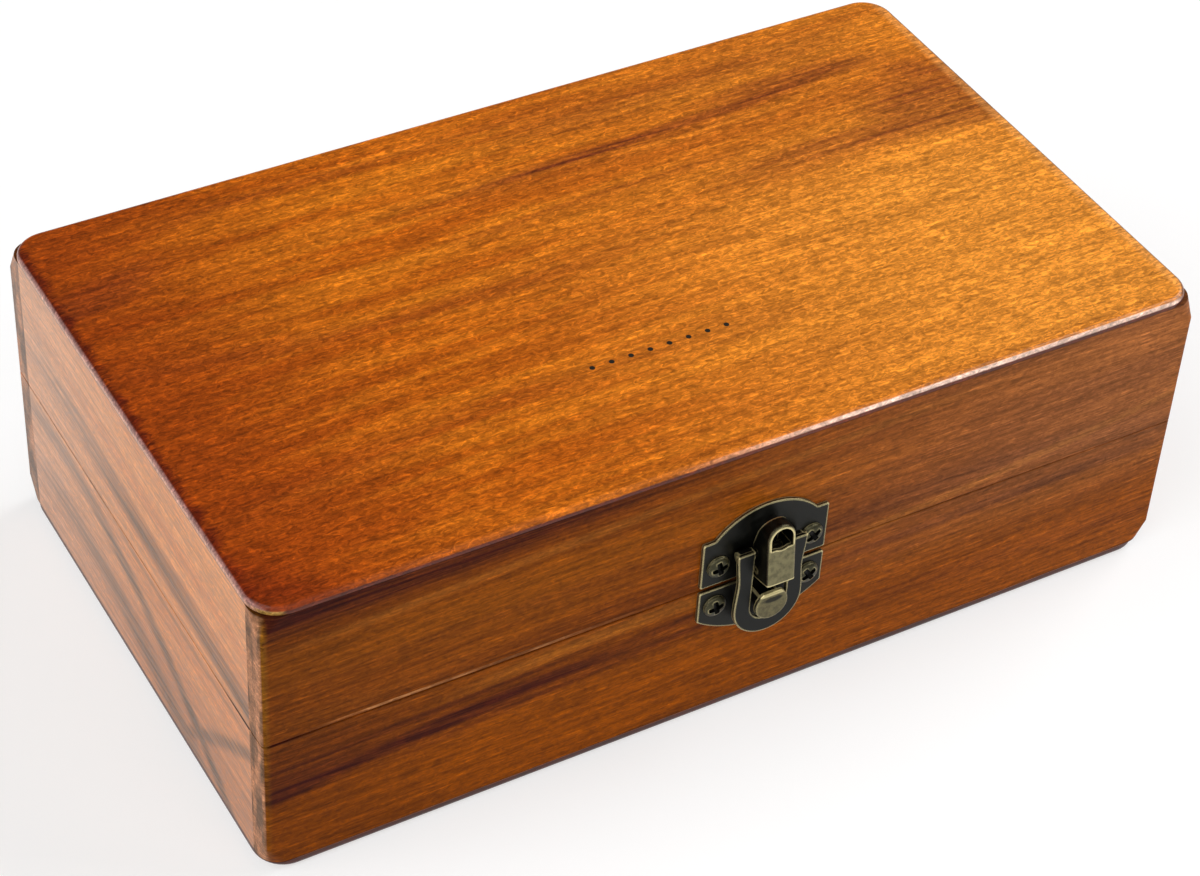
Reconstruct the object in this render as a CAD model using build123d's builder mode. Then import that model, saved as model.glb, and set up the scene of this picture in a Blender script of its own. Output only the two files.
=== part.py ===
from build123d import *
from math import asin, atan2, degrees, hypot
import os

# A lidded wooden box with a toggle latch on the front and two butt hinges on the back.
# Millimetres. Origin: centre of the underside. +X to the right, -Y to the front, +Z up.

# Box
box_length = 180.0
box_width = 104.0
box_height = 60.0
wall = 5.0
top_panel_thickness = 1.5
bottom_panel_thickness = 2.0
seam_height = 30.6
seam_gap = 0.12
panel_corner_radius = 5.8
wall_corner_radius = 4.0
corner_fade = 4.0
upright_edge_radius = 0.9
top_edge_radius = 1.1
bottom_edge_radius = 1.3
seam_edge_radius = 0.2

# Sheet metal and fits
sheet = 0.7
running_clearance = 0.05
screw_hole_clearance = 0.05
overrun = 2.0

# Latch: the lid plate and the keeper sit on the front, a little to the right of the middle.
# All heights of the latch are measured up from the seam, and those of the keeper down from it.
latch_offset = 2.6
latch_plate_width = 24.8
lid_plate_bottom = 1.0
ear_top = 11.0
ear_width = 2.3
dome_top = 15.8
keeper_top = -0.1
keeper_bottom = -6.8
keeper_dome_bottom = -11.2
plate_corner_radius = 0.4
plate_edge_radius = 0.2
lug_radius = 1.25
latch_pin_radius = 0.55

# Latch lever: a channel with an arched top that turns on the lever pin and carries the loop pin.
# Its face leans out towards its lower end, so that a finger can catch it.
lever_width = 5.5
lever_crown_out = 5.2
lever_toe_out = 6.5
lever_bottom = 2.4
lever_top = 14.3
lever_pin_out = 2.6
lever_pin_height = 3.3
lever_heel_radius = 1.7
lever_neck_out = 1.0
lever_neck_height = 8.2
lever_tip_out = 2.8
lever_edge_radius = 0.5
window_bottom = 9.7
window_rim = 0.6

# Latch loop: a slotted tongue with square shoulders, a slight waist and a round end. The loop pin
# runs in eyes behind the shoulders.
loop_width = 13.5
loop_waist = 12.7
loop_shoulder_width = 13.7
loop_eye_span = 12.7
slot_width = 7.0
loop_thickness = 0.75
loop_pin_out = 2.1
loop_pin_height = 7.0
loop_eye_radius = 1.1
loop_end_out = 2.9
loop_end_height = -4.7
loop_edge_radius = 0.2

# Keeper hook: a cup that stands in the slot of the loop, with a lip in front of the loop
lip_clearance = 0.3
lip_inner_out = 3.8
lip_thickness = 0.8
lip_edge_radius = 0.35
hook_neck_radius = 2.4
hook_top = -1.6
hook_centre_height = -4.3

# Pan-head screws of the latch
latch_screw_spacing = 18.5
lid_screw_height = 5.3
keeper_screw_height = -3.8
pan_radius = 2.15
pan_height = 1.1
pan_rim = 0.35
latch_shank_radius = 0.9
latch_shank_length = 4.4
latch_point_length = 1.4
pan_recess_length = 2.6
pan_recess_width = 0.75
pan_recess_depth = 0.8
left_recess_turn = 12.0
right_recess_turn = 33.0

# Butt hinges on the back, and their oval-head countersunk screws
hinge_spacing = 100.0
hinge_length = 20.0
leaf_height = 8.4
leaf_corner_radius = 1.0
knuckle_count = 5
knuckle_radius = 1.6
knuckle_gap = 0.2
barrel_gap = 0.2
hinge_pin_radius = 0.8
hinge_screw_spacing = 12.0
hinge_screw_drop = 5.2
oval_radius = 1.75
oval_dome = 0.3
hinge_shank_radius = 0.8
hinge_shank_length = 4.4
hinge_point_length = 1.2
oval_recess_length = 2.0
oval_recess_width = 0.5
oval_recess_depth = 0.5

# Places that follow from the sizes above
front = -box_width / 2
back = box_width / 2
lid_seam = seam_height + seam_gap
lid_wall_top = box_height - top_panel_thickness
inner_width = box_width - 2 * wall
hinge_axis_height = seam_height + seam_gap / 2
hinge_axis_out = knuckle_radius + barrel_gap
knuckle_width = (hinge_length - (knuckle_count - 1) * knuckle_gap) / knuckle_count
lip_radius = slot_width / 2 - lip_clearance
loop_top = loop_pin_height + loop_eye_radius
loop_top_out = loop_pin_out + loop_eye_radius - loop_thickness / 2
loop_drop = loop_top - loop_end_height
loop_lean = loop_end_out - loop_top_out

os.makedirs("parts", exist_ok=True)


def finish(piece, name):
    """Label a finished piece and write it."""
    piece.part.label = name
    export_step(piece.part, f"parts/{name}.step")


def front_plane(out):
    """Front view at the latch and the seam: right is +X, up is +Z, extrusions grow outwards."""
    return Plane(origin=(latch_offset, front - out, seam_height), x_dir=(1, 0, 0), z_dir=(0, -1, 0))


def latch_side_plane(x, height=0):
    """Side view at the latch: right is out of the box, up is +Z, extrusions grow to -X."""
    origin = (latch_offset + x, front, seam_height + height)
    return Plane(origin=origin, x_dir=(0, -1, 0), z_dir=(-1, 0, 0))


def back_plane(x, height, out):
    """Back view at a hinge: up is +Z, extrusions grow out of the box."""
    return Plane(origin=(x, back + out, height), x_dir=(-1, 0, 0), z_dir=(0, 1, 0))


def hinge_side_plane(x, height):
    """Side view at a hinge: right is out of the box, up is +Z, extrusions grow to +X."""
    return Plane(origin=(x, back, height), x_dir=(0, 1, 0), z_dir=(1, 0, 0))


def tongue(radius, end, top, mode=Mode.ADD):
    """Sketch a strip with straight sides and a round lower end about the height given."""
    with Locations((0, end)):
        Circle(radius, mode=mode)
    with Locations((0, (end + top) / 2)):
        Rectangle(2 * radius, top - end, mode=mode)


def cup(radius, centre, top):
    """Sketch a disc about the height given, cut off level at its top."""
    with Locations((0, centre)):
        Circle(radius)
    with Locations((0, top)):
        Rectangle(2 * radius, 2 * radius, align=(Align.CENTER, Align.MIN), mode=Mode.SUBTRACT)


def arch(radius, bottom, top, mode=Mode.ADD):
    """Sketch a strip with straight sides and a round upper end."""
    with Locations((0, top - radius)):
        Circle(radius, mode=mode)
    with Locations((0, (bottom + top - radius) / 2)):
        Rectangle(2 * radius, top - radius - bottom, mode=mode)


def dome_radius(half_width, rise):
    """Radius of the arc that rises by the given amount over the given half width."""
    return (half_width**2 + rise**2) / (2 * rise)


# Outlines of the lid walls and the base walls: the upright edges are nearly sharp, and sanded
# rounder over the last few millimetres before the panel
with BuildPart() as lid_outline:
    with BuildSketch(Plane.XY.offset(lid_seam)):
        RectangleRounded(box_length, box_width, upright_edge_radius)
    extrude(amount=lid_wall_top - corner_fade - lid_seam)
    with BuildSketch(Plane.XY.offset(lid_wall_top - corner_fade)):
        RectangleRounded(box_length, box_width, upright_edge_radius)
    with BuildSketch(Plane.XY.offset(lid_wall_top)):
        RectangleRounded(box_length, box_width, wall_corner_radius)
    loft()

with BuildPart() as base_outline:
    with BuildSketch(Plane.XY.offset(bottom_panel_thickness)):
        RectangleRounded(box_length, box_width, wall_corner_radius)
    with BuildSketch(Plane.XY.offset(bottom_panel_thickness + corner_fade)):
        RectangleRounded(box_length, box_width, upright_edge_radius)
    loft()
    with BuildSketch(Plane.XY.offset(bottom_panel_thickness + corner_fade)):
        RectangleRounded(box_length, box_width, upright_edge_radius)
    extrude(amount=seam_height - bottom_panel_thickness - corner_fade)

# Walls. The front and back walls run the whole length, and the end walls stand between them.
wall_plans = {
    "front_wall": (0, front + wall / 2, box_length, wall),
    "back_wall": (0, back - wall / 2, box_length, wall),
    "left_wall": (wall / 2 - box_length / 2, 0, wall, inner_width),
    "right_wall": (box_length / 2 - wall / 2, 0, wall, inner_width),
}
halves = {
    "lid": (lid_outline, lid_seam, lid_wall_top, lid_seam, lid_screw_height, 1),
    "base": (base_outline, bottom_panel_thickness, seam_height, seam_height, keeper_screw_height, -1),
}
for half, (outline, bottom, top, seam, latch_screw_height, away) in halves.items():
    for side, (x, y, size_x, size_y) in wall_plans.items():
        with BuildPart() as board:
            with BuildSketch(Plane.XY.offset(bottom)):
                with Locations((x, y)):
                    Rectangle(size_x, size_y)
            extrude(amount=top - bottom)
            add(outline.part, mode=Mode.INTERSECT)
            # The sawn edge at the seam is eased on the outside
            board_axis = Axis.X if size_x > size_y else Axis.Y
            seam_edges = board.faces().filter_by(Axis.Z).sort_by(Axis.Z)[0 if away > 0 else -1].edges()
            outer_edge = seam_edges.filter_by(board_axis).sort_by_distance((0, 0, seam))[-1]
            fillet(outer_edge, seam_edge_radius)
            if side == "front_wall":
                # Blind pilot holes of the latch screws
                with BuildSketch(front_plane(0)):
                    with Locations((0, latch_screw_height)):
                        with GridLocations(latch_screw_spacing, 0, 2, 1):
                            Circle(latch_shank_radius + screw_hole_clearance)
                extrude(amount=sheet - latch_shank_length, mode=Mode.SUBTRACT)
            if side == "back_wall":
                # Blind pilot holes of the hinge screws
                with BuildSketch(back_plane(0, hinge_axis_height + away * hinge_screw_drop, 0)):
                    with GridLocations(hinge_spacing, 0, 2, 1):
                        with GridLocations(hinge_screw_spacing, 0, 2, 1):
                            Circle(hinge_shank_radius + screw_hole_clearance)
                extrude(amount=sheet - hinge_shank_length, mode=Mode.SUBTRACT)
        finish(board, f"{half}_{side}")

# Top panel, laid on the lid walls, with its upper edge rounded over
with BuildPart() as top_panel:
    with BuildSketch(Plane.XY.offset(lid_wall_top)):
        RectangleRounded(box_length, box_width, panel_corner_radius)
    extrude(amount=top_panel_thickness)
    fillet(top_panel.faces().sort_by(Axis.Z)[-1].edges(), top_edge_radius)
finish(top_panel, "top_panel")

# Bottom panel, under the base walls, with its lower edge rounded over
with BuildPart() as bottom_panel:
    with BuildSketch(Plane.XY):
        RectangleRounded(box_length, box_width, panel_corner_radius)
    extrude(amount=bottom_panel_thickness)
    fillet(bottom_panel.faces().sort_by(Axis.Z)[0].edges(), bottom_edge_radius)
finish(bottom_panel, "bottom_panel")

# Latch lid plate: a stamped plate with a domed top between two square ears, and two lugs folded
# out of it that carry the lever pin inside the channel of the lever
half_plate = latch_plate_width / 2
with BuildPart() as latch_lid_plate:
    with BuildSketch(front_plane(0)) as lid_plate_shape:
        with BuildLine():
            Polyline(
                (ear_width - half_plate, ear_top),
                (-half_plate, ear_top),
                (-half_plate, lid_plate_bottom),
                (half_plate, lid_plate_bottom),
                (half_plate, ear_top),
                (half_plate - ear_width, ear_top),
            )
            ThreePointArc((half_plate - ear_width, ear_top), (0, dome_top), (ear_width - half_plate, ear_top))
        make_face()
        plate_corners = lid_plate_shape.vertices().group_by(Axis.X)
        fillet(plate_corners[0] + plate_corners[-1], plate_corner_radius)
    extrude(amount=sheet)
    fillet(latch_lid_plate.faces().sort_by(Axis.Y)[0].edges(), plate_edge_radius)
    lug_outer_x = lever_width / 2 - sheet - running_clearance
    for x in (lug_outer_x, sheet - lug_outer_x):
        with BuildSketch(latch_side_plane(x)):
            with Locations((lever_pin_out, lever_pin_height)):
                Circle(lug_radius)
            with Locations((lever_pin_out / 2, lever_pin_height)):
                Rectangle(lever_pin_out, 2 * lug_radius)
        extrude(amount=sheet)
    with BuildSketch(latch_side_plane(0)):
        with Locations((lever_pin_out, lever_pin_height)):
            Circle(latch_pin_radius + running_clearance)
    extrude(amount=lever_width / 2, both=True, mode=Mode.SUBTRACT)
    with BuildSketch(front_plane(0)):
        with Locations((0, lid_screw_height)):
            with GridLocations(latch_screw_spacing, 0, 2, 1):
                Circle(latch_shank_radius + screw_hole_clearance)
    extrude(amount=sheet, mode=Mode.SUBTRACT)
finish(latch_lid_plate, "latch_lid_plate")

# Latch keeper: a plate on the base, its lower edge bowed down behind the loop, with a hollow
# cup-shaped hook, open at its top
with BuildPart() as latch_keeper:
    with BuildSketch(front_plane(0)) as keeper_shape:
        with BuildLine():
            Polyline(
                (-half_plate, keeper_bottom),
                (-half_plate, keeper_top),
                (half_plate, keeper_top),
                (half_plate, keeper_bottom),
            )
            ThreePointArc((half_plate, keeper_bottom), (0, keeper_dome_bottom), (-half_plate, keeper_bottom))
        make_face()
        fillet(keeper_shape.vertices(), plate_corner_radius)
    extrude(amount=sheet)
    fillet(latch_keeper.faces().sort_by(Axis.Y)[0].edges(), plate_edge_radius)
    with BuildSketch(front_plane(0)):
        cup(hook_neck_radius, hook_centre_height, hook_top)
    extrude(amount=lip_inner_out)
    with BuildSketch(front_plane(lip_inner_out)):
        cup(lip_radius, hook_centre_height, hook_top)
    extrude(amount=lip_thickness)
    fillet(latch_keeper.faces().sort_by(Axis.Y)[0].edges(), lip_edge_radius)
    with BuildSketch(front_plane(sheet)):
        tongue(hook_neck_radius - sheet, hook_centre_height, hook_top + overrun)
    extrude(amount=lip_inner_out - sheet, mode=Mode.SUBTRACT)
    with BuildSketch(front_plane(0)):
        with Locations((0, keeper_screw_height)):
            with GridLocations(latch_screw_spacing, 0, 2, 1):
                Circle(latch_shank_radius + screw_hole_clearance)
    extrude(amount=sheet, mode=Mode.SUBTRACT)
finish(latch_keeper, "latch_keeper")

# Latch lever: a pressed channel, open at the back, whose walls run round the arched top. The
# face has a window under the arch. It turns on the lever pin near its lower end.
lever_floor = lever_pin_height - lever_heel_radius


def lever_slope(depth):
    """Sketch the side view of all that lies at least the given depth behind the face."""
    Polygon(
        (-overrun, lever_floor),
        (lever_toe_out - depth, lever_floor),
        (lever_toe_out - depth, lever_bottom),
        (lever_crown_out - depth, lever_top),
        (-overrun, lever_top),
        align=None,
    )


with BuildPart() as lever_hollow:
    with BuildSketch(front_plane(0)):
        arch(lever_width / 2 - sheet, lever_floor, lever_top - sheet)
    extrude(amount=lever_toe_out)
    with BuildSketch(latch_side_plane(0)):
        lever_slope(sheet)
    extrude(amount=lever_width / 2, both=True, mode=Mode.INTERSECT)

with BuildPart() as latch_lever:
    with BuildSketch(front_plane(0)):
        arch(lever_width / 2, lever_floor, lever_top)
    extrude(amount=lever_toe_out)
    with BuildSketch(latch_side_plane(0)):
        lever_slope(0)
    extrude(amount=lever_width / 2, both=True, mode=Mode.INTERSECT)
    face_normal = Axis((0, 0, 0), (0, lever_bottom - lever_top, lever_toe_out - lever_crown_out))
    fillet(latch_lever.faces().sort_by(face_normal)[-1].edges().group_by(Axis.Z)[1:], lever_edge_radius)
    add(lever_hollow.part, mode=Mode.SUBTRACT)
    with BuildSketch(front_plane(0)):
        arch(lever_width / 2 - window_rim, window_bottom, lever_top - window_rim)
    extrude(amount=lever_toe_out, mode=Mode.SUBTRACT)
    with BuildSketch(latch_side_plane(0)):
        with BuildLine():
            CenterArc((lever_pin_out, lever_pin_height), lever_heel_radius, 0, 360)
            Polyline(
                (lever_toe_out, lever_bottom),
                (lever_toe_out, lever_top),
                (lever_tip_out, lever_top),
                (lever_neck_out, lever_neck_height),
            )
        make_hull()
    extrude(amount=lever_width / 2, both=True, mode=Mode.INTERSECT)
    with BuildSketch(latch_side_plane(0)):
        with Locations((lever_pin_out, lever_pin_height), (loop_pin_out, loop_pin_height)):
            Circle(latch_pin_radius + running_clearance)
    extrude(amount=lever_width / 2, both=True, mode=Mode.SUBTRACT)
finish(latch_lever, "latch_lever")

# Latch loop: a tongue with a long slot, square shoulders, a slight waist and a round lower end,
# and an eye for the pin behind each shoulder
loop_plane = Plane(
    origin=(latch_offset, front - loop_top_out, seam_height + loop_top),
    x_dir=(1, 0, 0),
    z_dir=(0, -loop_drop, loop_lean),
)
loop_reach = hypot(loop_drop, loop_lean)
with BuildPart() as latch_loop:
    with BuildSketch(loop_plane.offset(-loop_thickness / 2)):
        with BuildLine():
            Line((-loop_shoulder_width / 2, 0), (loop_shoulder_width / 2, 0))
            CenterArc((0, -loop_reach), loop_width / 2, 180, 180)
            for side in (-1, 1):
                Spline(
                    (side * loop_width / 2, -loop_reach),
                    (side * loop_waist / 2, -loop_reach / 2),
                    (side * loop_shoulder_width / 2, 0),
                    tangents=[(0, 1), (0, 1)],
                )
        make_face()
        tongue(slot_width / 2, -loop_reach, overrun, mode=Mode.SUBTRACT)
    extrude(amount=loop_thickness)
    loop_faces = latch_loop.faces().sort_by(Axis((0, 0, 0), loop_plane.z_dir))
    fillet(loop_faces[-1].edges(), loop_edge_radius)
    for x in (loop_eye_span / 2, -slot_width / 2):
        with BuildSketch(latch_side_plane(x)):
            with Locations((loop_pin_out, loop_pin_height)):
                Circle(loop_eye_radius)
        extrude(amount=(loop_eye_span - slot_width) / 2)
    with BuildSketch(latch_side_plane(0)):
        with Locations((loop_pin_out, loop_pin_height)):
            Circle(latch_pin_radius + running_clearance)
    extrude(amount=loop_shoulder_width / 2, both=True, mode=Mode.SUBTRACT)
finish(latch_loop, "latch_loop")

# Pins of the latch: one across the lever, one across the loop
latch_pins = {
    "lever_pin": (lever_pin_out, lever_pin_height, lever_width),
    "loop_pin": (loop_pin_out, loop_pin_height, loop_eye_span),
}
for name, (out, height, length) in latch_pins.items():
    with BuildPart() as latch_pin:
        with BuildSketch(latch_side_plane(0)):
            with Locations((out, height)):
                Circle(latch_pin_radius)
        extrude(amount=length / 2, both=True)
    finish(latch_pin, name)

# Pan-head screws, two in the lid plate and two in the keeper, with a cross recess
pan_dome_radius = dome_radius(pan_radius, pan_height - pan_rim)
latch_screw_heights = {"latch_lid_screws": lid_screw_height, "latch_keeper_screws": keeper_screw_height}
recess_turns = {-latch_screw_spacing / 2: left_recess_turn, latch_screw_spacing / 2: right_recess_turn}
for name, height in latch_screw_heights.items():
    with BuildPart() as latch_screws:
        for x, turn in recess_turns.items():
            with BuildSketch(latch_side_plane(x, height)):
                with BuildLine():
                    Polyline(
                        (sheet + pan_height, 0),
                        (sheet - latch_shank_length, 0),
                        (sheet - latch_shank_length + latch_point_length, latch_shank_radius),
                        (sheet, latch_shank_radius),
                        (sheet, pan_radius),
                        (sheet + pan_rim, pan_radius),
                    )
                    CenterArc(
                        (sheet + pan_height - pan_dome_radius, 0),
                        pan_dome_radius,
                        0,
                        degrees(asin(pan_radius / pan_dome_radius)),
                    )
                make_face()
            revolve(axis=Axis((latch_offset + x, front, seam_height + height), (0, -1, 0)))
            with BuildSketch(front_plane(sheet + pan_height - pan_recess_depth)):
                with Locations(Location((x, height), turn)):
                    Rectangle(pan_recess_length, pan_recess_width)
                    Rectangle(pan_recess_width, pan_recess_length)
            extrude(amount=pan_recess_depth, mode=Mode.SUBTRACT)
    finish(latch_screws, name)

# Butt hinges. The leaves lie on the back of the base and of the lid, their knuckles take turns
# along the barrel at the seam, and the pin runs through all of them.
knuckle_pitch = knuckle_width + knuckle_gap
oval_dome_radius = dome_radius(oval_radius, oval_dome)
oval_head_angle = 2 * degrees(atan2(oval_radius - hinge_shank_radius, sheet))
for hinge, hinge_x in {"left_hinge": -hinge_spacing / 2, "right_hinge": hinge_spacing / 2}.items():
    barrel_start = hinge_x - hinge_length / 2
    for half, away in {"base": -1, "lid": 1}.items():
        own_first = 0 if half == "base" else 1
        screw_height = hinge_axis_height + away * hinge_screw_drop

        # Leaf with its rolled knuckles, cut back where the knuckles of the other leaf turn
        with BuildPart() as leaf:
            with BuildSketch(back_plane(hinge_x, hinge_axis_height, 0)) as leaf_shape:
                with Locations((0, away * leaf_height / 2)):
                    Rectangle(hinge_length, leaf_height)
                far_corners = leaf_shape.vertices().group_by(Axis.Y)[-1 if away > 0 else 0]
                fillet(far_corners, leaf_corner_radius)
            extrude(amount=sheet)
            for index in range(1 - own_first, knuckle_count, 2):
                notch_x = barrel_start + (index + 1 / 2) * knuckle_pitch - knuckle_gap / 2
                with BuildSketch(back_plane(notch_x, hinge_axis_height, 0)):
                    Rectangle(knuckle_width + 2 * knuckle_gap, 2 * (knuckle_radius + barrel_gap))
                extrude(amount=sheet, mode=Mode.SUBTRACT)
            for index in range(own_first, knuckle_count, 2):
                with BuildSketch(hinge_side_plane(barrel_start + index * knuckle_pitch, hinge_axis_height)):
                    with Locations((hinge_axis_out, 0)):
                        Circle(knuckle_radius)
                extrude(amount=knuckle_width)
            with BuildSketch(hinge_side_plane(barrel_start, hinge_axis_height)):
                with Locations((hinge_axis_out, 0)):
                    Circle(hinge_pin_radius + running_clearance)
            extrude(amount=hinge_length, mode=Mode.SUBTRACT)
            with Locations(back_plane(hinge_x, screw_height, sheet)):
                with GridLocations(hinge_screw_spacing, 0, 2, 1):
                    CounterSinkHole(
                        radius=hinge_shank_radius + screw_hole_clearance,
                        counter_sink_radius=oval_radius + screw_hole_clearance,
                        depth=sheet,
                        counter_sink_angle=oval_head_angle,
                    )
        finish(leaf, f"{hinge}_{half}_leaf")

        # Oval-head countersunk screws with a cross recess
        with BuildPart() as hinge_screws:
            for x in (hinge_x - hinge_screw_spacing / 2, hinge_x + hinge_screw_spacing / 2):
                with BuildSketch(hinge_side_plane(x, screw_height)):
                    with BuildLine():
                        Polyline(
                            (sheet + oval_dome, 0),
                            (sheet - hinge_shank_length, 0),
                            (sheet - hinge_shank_length + hinge_point_length, hinge_shank_radius),
                            (0, hinge_shank_radius),
                            (sheet, oval_radius),
                        )
                        CenterArc(
                            (sheet + oval_dome - oval_dome_radius, 0),
                            oval_dome_radius,
                            0,
                            degrees(asin(oval_radius / oval_dome_radius)),
                        )
                    make_face()
                revolve(axis=Axis((x, back, screw_height), (0, 1, 0)))
                with BuildSketch(back_plane(x, screw_height, sheet + oval_dome - oval_recess_depth)):
                    Rectangle(oval_recess_length, oval_recess_width, rotation=left_recess_turn)
                    Rectangle(oval_recess_width, oval_recess_length, rotation=left_recess_turn)
                extrude(amount=oval_recess_depth, mode=Mode.SUBTRACT)
        finish(hinge_screws, f"{hinge}_{half}_screws")

    with BuildPart() as hinge_pin:
        with BuildSketch(hinge_side_plane(barrel_start, hinge_axis_height)):
            with Locations((hinge_axis_out, 0)):
                Circle(hinge_pin_radius)
        extrude(amount=hinge_length)
    finish(hinge_pin, f"{hinge}_pin")
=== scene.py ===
from math import pi, radians

import bpy
from mathutils import Matrix, Vector


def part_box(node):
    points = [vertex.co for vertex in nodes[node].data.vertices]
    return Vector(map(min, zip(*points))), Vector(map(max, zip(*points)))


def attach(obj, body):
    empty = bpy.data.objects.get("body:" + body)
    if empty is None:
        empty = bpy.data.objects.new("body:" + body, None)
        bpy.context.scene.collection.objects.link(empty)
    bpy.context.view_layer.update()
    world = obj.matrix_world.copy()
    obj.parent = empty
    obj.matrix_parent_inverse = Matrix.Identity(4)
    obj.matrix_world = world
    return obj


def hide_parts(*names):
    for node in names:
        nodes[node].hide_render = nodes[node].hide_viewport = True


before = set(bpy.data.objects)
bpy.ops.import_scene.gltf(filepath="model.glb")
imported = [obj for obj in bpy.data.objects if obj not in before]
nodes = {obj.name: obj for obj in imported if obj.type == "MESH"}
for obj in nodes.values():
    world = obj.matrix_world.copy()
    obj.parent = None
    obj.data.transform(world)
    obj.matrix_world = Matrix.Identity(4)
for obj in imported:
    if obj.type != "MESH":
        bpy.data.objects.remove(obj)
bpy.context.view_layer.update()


# Box walls: four boards glued into a ring and then sawn through at the seam, so the figure runs on
# from the lid into the base. Softwood with dark heart streaks, stained orange brown and lacquered.
# The long boards run past the end boards, so their end grain shows as strips on both ends.

def paint(red, green, blue):
    """A colour read from a colour card, 0 to 255, as the shader's linear colour."""
    shares = [value / 255 for value in (red, green, blue)]
    return (*[s / 12.92 if s <= 0.04045 else ((s + 0.055) / 1.055) ** 2.4 for s in shares], 1)


def add(tree, kind, inputs=None, **settings):
    """A new node with its settings, and its inputs filled with values or linked to sockets."""
    node = tree.nodes.new(kind)
    for name, value in settings.items():
        setattr(node, name, value)
    for name, value in (inputs or {}).items():
        if isinstance(value, bpy.types.NodeSocket):
            tree.links.new(value, node.inputs[name])
        else:
            node.inputs[name].default_value = value
    return node


def calc(tree, operation, *values, clamp=False):
    """The result of a maths node."""
    inputs = dict(enumerate(values))
    return add(tree, "ShaderNodeMath", inputs, operation=operation, use_clamp=clamp).outputs[0]


def ramp(tree, value, low, high, start=0.0, end=1.0):
    """A smooth step from start to end while the value goes from low to high."""
    inputs = {0: value, 1: low, 2: high, 3: start, 4: end}
    return add(tree, "ShaderNodeMapRange", inputs, interpolation_type="SMOOTHSTEP").outputs[0]


def blend(tree, share, first, second, mode="MIX"):
    """One colour over another."""
    inputs = {0: share, 6: first, 7: second}
    return add(tree, "ShaderNodeMix", inputs, data_type="RGBA", blend_type=mode).outputs[2]


def noise(tree, place, size, detail=2.0, roughness=0.5, distortion=0.0):
    """Noise with a cell of the given size in millimetres along, across and through the board."""
    scale = tuple(1 / s for s in size)
    spread = add(tree, "ShaderNodeVectorMath", {0: place, 1: scale}, operation="MULTIPLY")
    inputs = {"Vector": spread.outputs[0], "Scale": 1.0, "Detail": detail, "Roughness": roughness,
              "Distortion": distortion}
    return add(tree, "ShaderNodeTexNoise", inputs).outputs[0]


def group(kind, name, inputs, outputs):
    """A node group with named inputs and outputs, each with its socket type and default."""
    tree = bpy.data.node_groups.new(name, kind)
    for way, sockets in (("INPUT", inputs), ("OUTPUT", outputs)):
        for label, socket, default in sockets:
            made = tree.interface.new_socket(label, in_out=way, socket_type=socket)
            if default is not None:
                made.default_value = default
    return tree, tree.nodes.new("NodeGroupInput").outputs, tree.nodes.new("NodeGroupOutput").inputs


VECTOR, FLOAT = "NodeSocketVector", "NodeSocketFloat"
MM_PER_METRE = 1000

# The figure of one board: broad bands, clouds of stain, growth lines, short fibres and pores
grain, given, made = group(
    "ShaderNodeTree", "board grain",
    [("Place", VECTOR, None), ("Wander", FLOAT, 6.0)],
    [(label, FLOAT, None) for label in ("Bands", "Clouds", "Lines", "Fibres", "Mottle", "Flecks")],
)
drift = calc(grain, "SUBTRACT", noise(grain, given["Place"], (95, 34, 60), 1.0), 0.5)
drift = calc(grain, "MULTIPLY", drift, given["Wander"])
drift = add(grain, "ShaderNodeCombineXYZ", {"Y": drift}).outputs[0]
bent = add(grain, "ShaderNodeVectorMath", {0: given["Place"], 1: drift}, operation="ADD").outputs[0]
grain.links.new(noise(grain, bent, (170, 9, 22), 3.0, 0.55), made["Bands"])
grain.links.new(noise(grain, bent, (38, 3.6, 6), 3.0, 0.6), made["Clouds"])
grain.links.new(noise(grain, bent, (46, 1.0, 4), 3.0, 0.6), made["Lines"])
grain.links.new(noise(grain, given["Place"], (4.0, 0.45, 0.45), 2.0, 0.6), made["Fibres"])
grain.links.new(noise(grain, given["Place"], (1.7, 0.85, 0.85), 2.0, 0.7, 1.1), made["Mottle"])
grain.links.new(noise(grain, given["Place"], (5.0, 0.4, 0.7), 1.0), made["Flecks"])

# One dark heart streak that follows a parabola over the board
streak, given, made = group(
    "ShaderNodeTree", "heart streak",
    [("Place", VECTOR, None), ("Height", FLOAT, 0.0), ("Slope", FLOAT, 0.0), ("Bend", FLOAT, 0.0),
     ("Half width", FLOAT, 2.0), ("From", FLOAT, -100.0), ("To", FLOAT, 100.0),
     ("Fade", FLOAT, 20.0), ("Strength", FLOAT, 1.0)],
    [("Mask", FLOAT, None)],
)
split = add(streak, "ShaderNodeSeparateXYZ", {0: given["Place"]}).outputs
line = calc(streak, "MULTIPLY_ADD", split["X"], given["Bend"], given["Slope"])
line = calc(streak, "MULTIPLY_ADD", split["X"], line, given["Height"])
ragged = noise(streak, given["Place"], (26, 1.6, 3), 3.0, 0.6)
ragged = calc(streak, "MULTIPLY", calc(streak, "SUBTRACT", ragged, 0.5), given["Half width"])
away = calc(streak, "ADD", calc(streak, "SUBTRACT", split["Y"], line), ragged)
away = calc(streak, "DIVIDE", away, given["Half width"])
away = calc(streak, "POWER", calc(streak, "ABSOLUTE", away), 3.0)
mask = calc(streak, "EXPONENT", calc(streak, "MULTIPLY", away, -1.0))
begun = calc(streak, "DIVIDE", calc(streak, "SUBTRACT", split["X"], given["From"]), given["Fade"])
ended = calc(streak, "DIVIDE", calc(streak, "SUBTRACT", given["To"], split["X"]), given["Fade"])
mask = calc(streak, "MULTIPLY", mask, ramp(streak, begun, 0.0, 1.0))
mask = calc(streak, "MULTIPLY", mask, ramp(streak, ended, 0.0, 1.0))
streak.links.new(calc(streak, "MULTIPLY", mask, given["Strength"]), made["Mask"])


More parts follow.
